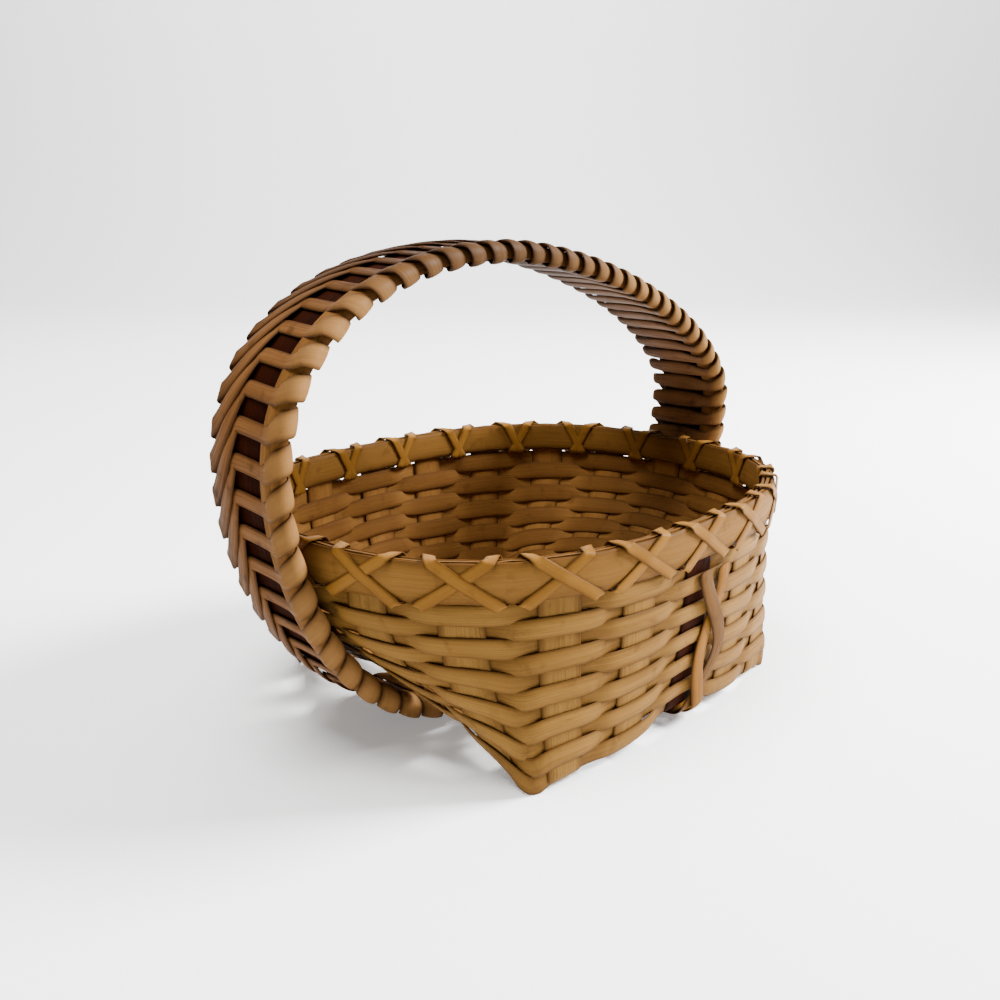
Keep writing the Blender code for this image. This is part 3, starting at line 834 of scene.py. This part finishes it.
@dataclass
class RimBand:
    """The two hoops that hold the top of the wall splints, and their cross lashing."""

    shop: WoodShop
    form: BasketForm
    outer_height: float = 13.9 * MM
    outer_thickness: float = 2.0 * MM
    outer_crown: float = 0.5 * MM
    inner_height: float = 12.6 * MM
    inner_thickness: float = 1.8 * MM
    hoop_edge: float = 0.6
    hoop_waver: float = 0.18 * MM
    splint_thickness: float = 1.0 * MM
    fit: float = 0.3 * MM
    steps_per_splint: int = 10
    lash_width: float = 4.4 * MM
    lash_thickness: float = 0.7 * MM
    lash_crown: float = 0.12 * MM
    lash_edge: float = 0.5
    lash_reach: float = 0.38
    lash_top_reach: float = 0.25
    lash_over: float = 0.6 * MM
    lash_gap: float = 0.35 * MM

    def build(self) -> None:
        """Bend the hoops and wind both strands of the lashing."""
        form, wall = self.form, self.splint_thickness / 2 + self.fit
        for side, offset, height, thickness, crown in (
                ("outer", wall + self.outer_thickness / 2, self.outer_height, self.outer_thickness,
                 self.outer_crown),
                ("inner", -wall - self.inner_thickness / 2, self.inner_height, self.inner_thickness, 0.0)):
            spots, normals = [], []
            for step in range(form.splints * self.steps_per_splint):
                spot, outward = self._at(step / self.steps_per_splint)
                wave = self.hoop_waver * math.sin(step * 1.7) * math.sin(step * 0.31)
                spots.append(spot + outward * offset + UP * (form.rim_height - height / 2 + wave))
                normals.append(outward)
            Splint(self.shop, f"rim_band_{side}", f"rim_{side}_hoop", "rim_splint", np.array(spots),
                   np.array(normals), height / 2, thickness, RIM, None, crown, self.hoop_edge, True).lay()
        self._strand("lashing_under", Hand.RIGHT, 0.0)
        self._strand("lashing_over", Hand.LEFT, self.lash_over)

    def _at(self, place: float) -> tuple[Array, Array]:
        """The middle of the rim's thickness at a place, at height 0, and the level normal there."""
        spot, along, _ = self.form.wall_frame(place, self.form.wall_length(place) + MM)
        return spot * (1, 1, 0), unit(np.array([along[1], -along[0], 0.0]))

    def _strand(self, name: str, hand: Hand, over: float) -> None:
        """Wind one strand: up aslant outside, over the top, down inside and back under.

        Args:
            name: Name of the piece.
            hand: Which way it climbs.
            over: How far it stands over the other strand where they cross.
        """
        form, half = self.form, self.lash_thickness / 2
        wall = self.splint_thickness / 2 + self.fit
        out = wall + self.outer_thickness + self.lash_gap + half
        inn = wall + self.inner_thickness + half
        top = form.rim_height + half + 0.15 * MM
        low_out = form.rim_height - self.outer_height - half - 0.1 * MM
        low_in = form.rim_height - self.inner_height - half - 0.1 * MM
        reach, high = self.lash_reach, self.lash_top_reach
        crossing = reach / (reach + high)
        path = []
        for share in np.linspace(0, 1, 9):
            lift = over * max(0.0, 1 - abs(share - crossing) * 4.0)
            height = low_out + (top - 0.9 * MM - low_out) * share
            path.append(((reach + high) * share - reach, out + lift, height, 1,
                         0.15 * max(2 * share - 1, 0.0)))
        middle, span = (out - inn) / 2, 0.62 * (out + inn) / 2
        path += [(high + 0.015, out - 0.25 * MM, top - 0.25 * MM, 1, 1),
                 (high + 0.03, middle + span, top, 0.1, 1), (high + 0.05, middle, top + 0.05 * MM, 0, 1),
                 (high + 0.07, middle - span, top, -0.1, 1),
                 (high + 0.085, 0.25 * MM - inn, top - 0.25 * MM, -1, 1)]
        for share in np.linspace(0, 1, 5):
            height = top - 0.9 * MM + (low_in - top + 1.2 * MM) * share
            path.append((high + 0.10 + (0.84 - reach - high) * share, -inn, height, -1, 0))
        path += [(0.955 - reach, 0.4 * MM - inn, low_in, -1, -1),
                 (0.975 - reach, middle, low_out - 0.1 * MM, 0, -1),
                 (0.99 - reach, out - 0.4 * MM, low_out - 0.05 * MM, 1, -1)]
        rows, steps = [], range(form.splints)
        for step, (shift, offset, height, out_share, up_share) in itertools.product(steps, path):
            spot, outward = self._at(hand.value * (step + shift) + 0.5)
            rows.append(np.concatenate([spot + outward * offset + UP * height,
                                        outward * out_share + UP * up_share]))
        rows = eased(np.array(rows))
        Splint(self.shop, name, f"rim_{name}", "lashing_splint", rows[:, :3], rows[:, 3:],
               self.lash_width / 2, self.lash_thickness, LASHING, None, self.lash_crown,
               self.lash_edge, True).lay()


@dataclass
class WoundHandle:
    """The handle: a round rod and a flat dark core, wound with three splints."""

    shop: WoodShop
    hoop: HandleForm
    rod_place: float = -15.4 * MM
    rod_radius: float = 2.6 * MM
    rod_half: float = 5.2 * MM
    rod_inset: float = 2.2 * MM
    rod_crown: float = 0.3 * MM
    wrap_radius: float = 3.4 * MM
    knob_swell: float = 0.65 * MM
    knob_lean: float = 1.45
    far_shade: float = 0.5
    core_place: float = 2.6 * MM
    core_width: float = 23.0 * MM
    core_thickness: float = 2.0 * MM
    core_crown: float = 0.1 * MM
    hoop_edge: float = 0.6
    hoop_steps: int = 240
    strands: int = 3
    thickness: float = 1.0 * MM
    crown: float = 0.25 * MM
    edge_share: float = 0.4
    lift: float = 1.75 * MM
    bend_place: float = 6.9 * MM
    far_place: float = 18.4 * MM
    shingle: float = 0.16
    rung_half: float = 2.6 * MM
    knob_half: float = 4.35 * MM
    slant_half: float = 3.15 * MM
    pitch_share: float = 0.13

    def build(self) -> None:
        """Bend the core and the rod, and wind the splints round them."""
        for name, slot, across, half, thickness, finish, crown in (
                ("dark_core", "dark_core_splint", self.core_place, self.core_width / 2,
                 self.core_thickness, DARK, self.core_crown),
                ("edge_rod", "handle_splint", self.rod_place + self.rod_inset, self.rod_half,
                 self.rod_radius * 2, ROD, self.rod_crown)):
            spots, outward = self.hoop.frame(np.arange(self.hoop_steps) / self.hoop_steps)
            spots[:, 1] += across
            Splint(self.shop, f"{name}_hoop", f"handle_{name}", slot, spots, outward, half, thickness,
                   finish, None, crown, self.hoop_edge, True).lay()
        for strand in range(self.strands):
            self._wind(strand)

    def _path(self, rung: float) -> list[tuple[float, ...]]:
        """One turn of a strand.

        Args:
            rung: Number of the rung that the turn starts with.

        Returns:
            Rows of rung number, place across, lift, the normal's outward and across parts, the
            share of the lean, and the shares of the knob's and of the slant's width.
        """
        lift, rod, wrap, far = self.lift, self.rod_place, self.wrap_radius, self.far_place
        rows = [(0.07, 4.0 * MM, lift, 1, 0, 0, 0, 0), (0.03, -1.0 * MM, lift, 1, 0, 0, 0, 0),
                (-0.01, -6.0 * MM, lift, 1, 0, 0, 0, 0),
                (-0.04, -9.6 * MM, lift + 0.2 * MM, 1, 0, 0.1, 0, 0),
                (-0.03, -12.2 * MM, lift + 1.0 * MM, 1, 0.1, 0.4, 0.2, 0)]
        for degrees in range(0, 201, 20):
            turn = math.radians(degrees)
            share = 0.64 * (degrees / 200) ** 0.75
            wide = 1.0 - 0.75 * (abs(degrees - 80) / 120) ** 1.4
            rows.append((share, rod - wrap * math.sin(turn), wrap * math.cos(turn),
                         math.cos(turn), -math.sin(turn), self.knob_lean * wide, wide, 0))
        rows += [(0.66, -9.0 * MM, -lift - 0.7 * MM, -1, 0, 0.2, 0.4, 0),
                 (0.67, -3.0 * MM, -lift, -1, 0, 0, 0, 3.4), (0.68, 9.0 * MM, -lift, -1, 0, 0, 0, 3.4),
                 (0.69, far - 0.8 * MM, -lift * 0.9, -1, 0, 0, 0, 1.6),
                 (0.71, far + 1.2 * MM, -lift * 0.5, -0.5, 0.8, 0, 0, 0),
                 (0.75, far + 1.5 * MM, lift * 0.4, 0.5, 0.8, 0, 0, 0.3),
                 (0.83, far - 0.2 * MM, lift * 0.95, 1, 0, 0.3, 0, 0.6)]
        for share in np.linspace(0, 1, 7):
            across = far - 2.0 * MM
            across += (self.bend_place - across) * math.sin(share * math.pi / 2) ** 0.85
            bulge = 1.0 * MM * math.sin(math.pi * share) ** 0.7
            rows.append((1.0 + 1.9 * share, across, lift + bulge, 1, 0, 1, 0, 1))
        rows.append((3.02, self.bend_place - 0.6 * MM, lift + 0.3 * MM, 1, 0, 0.4, 0, 0.4))
        return [(rung + row[0], *row[1:]) for row in rows]

    def _wind(self, strand: int) -> None:
        """Wind one strand round the hoop, from the right waist under the basket and up the left leg.

        Args:
            strand: Number of the strand, from 0.
        """
        path = np.array([row for number in range(strand, self.hoop.rungs, self.strands)
                         for row in self._path(float(number))])
        rung, across, lift, out_share, side_share, lean, knob, slant = path.T
        turn = 2 * np.pi * rung / self.hoop.rungs
        spots, outward = self.hoop.frame((self.hoop.swing * np.sin(turn) - turn) / (2 * np.pi))
        spots = spots + outward * lift[:, None]
        spots[:, 1] += across
        normals = outward * out_share[:, None] + np.array([0.0, 1.0, 0.0]) * side_share[:, None]
        halves = self.rung_half + (self.knob_half - self.rung_half) * knob
        halves += (self.slant_half - self.rung_half) * slant
        halves *= 1 - self.pitch_share * (1 - 0.8 * knob) * np.cos(turn)
        rows = eased(np.column_stack([spots, normals, lean, halves, knob]))
        # Painted shade over the handle's far half, away from its near edge.
        far = np.clip((rows[:, 1] - self.bend_place) / (self.far_place - self.bend_place), 0, 1)
        Splint(self.shop, f"winding_{strand + 1}", f"handle_winding_{strand + 1}", "handle_splint",
               rows[:, :3], rows[:, 3:6], rows[:, 7], self.thickness, HANDLE, None, self.crown,
               self.edge_share, True, lean=-self.shingle * rows[:, 6], worn=rows[:, 8],
               tucked=self.far_shade * far, swell=self.knob_swell * rows[:, 8]).lay()


@dataclass
class CrossBand:
    """Two splints that cross each other down the middle of the narrow direction and under it."""

    shop: WoodShop
    form: BasketForm
    width: float = 7.4 * MM
    thickness: float = 0.9 * MM
    crown: float = 0.2 * MM
    lift: float = 2.8 * MM
    rise: float = 0.9 * MM
    place: float = 6.2 * MM
    sway: float = 3.2 * MM
    reach: float = 5.6 * MM
    turns: float = 4.1
    start_turn: float = 0.2
    wall_share: float = 0.22
    top_drop: float = 2.3 * MM
    end_gap: float = 0.004
    steps: int = 180
    line_steps: int = 33

    def build(self) -> None:
        """Lay both splints from the rim down, under the base and up again."""
        form, gap = self.form, self.end_gap
        near, far = 3.5 * form.splints_per_side, 1.5 * form.splints_per_side
        heights = np.linspace(form.wall_length(near) - self.top_drop, 0, self.line_steps)
        line = [form.wall_point(near, height) for height in heights]
        line += [form.base_point(0.0, part) for part in np.linspace(-1, 1, self.line_steps)[1:-1]]
        line += [form.wall_point(far, height) for height in heights[::-1]]
        curve = EvenCurve.through(np.array(line)[:, 1:])
        share = np.linspace(gap, 1 - gap, self.steps)
        spots = curve.at(share)
        runs = unit(curve.at(np.minimum(share + gap, 0.9999)) - curve.at(share - gap))
        outward = np.stack([np.zeros(self.steps), runs[:, 1], -runs[:, 0]], axis=1)
        down = np.clip(np.minimum(share, 1 - share) / self.wall_share, 0, 1)
        for number, finish in enumerate((BAND, BAND_DARK)):
            angle = 2 * np.pi * (self.start_turn + self.turns * share) + math.pi * number
            lift = self.lift + self.rise * np.cos(angle)
            aside = self.place + self.sway * np.sin(np.pi * down) + self.reach * np.sin(angle)
            centre = np.column_stack([aside, spots]) + outward * lift[:, None]
            Splint(self.shop, f"cross_band_{number + 1}", f"cross_braid_{number + 1}", "handle_splint",
                   centre, outward, self.width / 2, self.thickness, finish, crown=self.crown).lay()


@dataclass(frozen=True)
class SoftLight:
    """A soft square light, with the point that it faces, its side and its power in watts."""

    name: str
    place: Triple
    aim: Triple
    size: float
    power: float

    def hang(self) -> None:
        """Put the light in its place and turn it to its aim."""
        data = bpy.data.lights.new(self.name, "AREA")
        data.size, data.energy = self.size, self.power
        light = bpy.data.objects.new(self.name, data)
        bpy.context.scene.collection.objects.link(light)
        facing = Vector(self.aim) - Vector(self.place)
        light.location, light.rotation_euler = self.place, facing.to_track_quat("-Z", "Y").to_euler()


@dataclass
class Studio:
    """Floor, light and camera."""

    azimuth: float = -46.8
    elevation: float = 14.4
    distance: float = 0.4255
    aim_height: float = 80.2 * MM
    lens: float = 38.5
    shift: tuple[float, float] = (-0.014, -0.024)
    sweep_width: float = 8.0
    sweep_front: float = 3.0
    sweep_back: float = 1.6
    sweep_radius: float = 0.8
    sweep_height: float = 2.6
    ambient: float = 0.17
    glow: float = 0.27
    lights: tuple[SoftLight, ...] = (
        SoftLight("key", (0.98, -0.62, 0.74), (0, 0, 0.07), 0.50, 112.0),
        SoftLight("top", (-0.40, 0.02, 1.30), (0, 0, 0.07), 0.60, 27.0),
        SoftLight("fill", (-0.10, 0.0, 0.42), (0, 0, 0.05), 0.22, 1.0),
        SoftLight("backdrop_light", (0.55, 0.50, 1.50), (1.5, 1.4, 0.6), 0.9, 60.0))

    def build(self) -> None:
        """Set up the sweep, the surrounding, the lights and the camera."""
        self._sweep()
        self._world()
        for light in self.lights:
            light.hang()
        self._camera()

    def _sweep(self) -> None:
        """A plain pale floor that curves up behind the basket, as studio paper does."""
        bpy.ops.object.select_all(action="DESELECT")
        bpy.ops.mesh.primitive_grid_add(x_subdivisions=2, y_subdivisions=48, size=2.0)
        sweep = bpy.context.object
        sweep.name = "floor"
        flat = self.sweep_front + self.sweep_back
        bend = self.sweep_radius * math.pi / 2
        rise = self.sweep_height - self.sweep_radius
        turned = Matrix.Rotation(math.radians(self.azimuth), 3, "Z")
        for vertex in sweep.data.vertices:
            run = (vertex.co.y + 1) / 2 * (flat + bend + rise)
            angle = min(max(run - flat, 0.0) / self.sweep_radius, math.pi / 2)
            ahead = min(run, flat) - self.sweep_front + self.sweep_radius * math.sin(angle)
            height = self.sweep_radius * (1 - math.cos(angle)) + max(run - flat - bend, 0.0)
            vertex.co = turned @ Vector((vertex.co.x * self.sweep_width / 2, ahead, height))
        bpy.ops.object.shade_smooth()
        paper = bpy.data.materials.new("paper")
        paper.use_nodes = True
        NodeKit(paper.node_tree).feed(paper.node_tree.nodes["Principled BSDF"].inputs, {
            "Base Color": (0.93, 0.93, 0.93, 1), "Roughness": 0.9,
            "Emission Color": (1, 1, 1, 1), "Emission Strength": self.glow})
        sweep.data.materials.append(paper)

    def _world(self) -> None:
        """An even white surrounding."""
        world = bpy.context.scene.world = bpy.data.worlds.new("studio")
        world.use_nodes = True
        NodeKit(world.node_tree).feed(world.node_tree.nodes["Background"].inputs,
                                      {"Color": (1, 1, 1, 1), "Strength": self.ambient})

    def _camera(self) -> None:
        """The camera at the photograph's viewing angle."""
        data = bpy.data.cameras.new("camera")
        data.lens = self.lens
        data.shift_x, data.shift_y = self.shift
        camera = bpy.data.objects.new("camera", data)
        bpy.context.scene.collection.objects.link(camera)
        azimuth, elevation = math.radians(self.azimuth), math.radians(self.elevation)
        away = Vector((math.sin(azimuth) * math.cos(elevation),
                       -math.cos(azimuth) * math.cos(elevation), math.sin(elevation)))
        camera.location = Vector((0, 0, self.aim_height)) + away * self.distance
        camera.rotation_euler = (-away).to_track_quat("-Z", "Y").to_euler()
        bpy.context.scene.camera = camera


def main() -> None:
    """Load the frame, dress it and light it."""
    logging.basicConfig(level=logging.INFO, format="%(message)s")
    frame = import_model()
    LOG.info("frame with %d nodes", len(frame["nodes"]))
    shop = WoodShop()
    form = BasketForm()
    WallSplints(shop, form).build()
    WeaverRows(shop, form).build()
    RimBand(shop, form).build()
    WoundHandle(shop, HandleForm()).build()
    CrossBand(shop, form).build()
    # Painted shade: the filler between the hoops takes the dark band finish, so that the gap between the
    # hoops reads dark.
    filler = bpy.data.objects["rim_filler"]
    for slot in filler.material_slots:
        slot.material = shop.material(BAND_DARK)
    Studio().build()


if __name__ == "__main__":
    main()
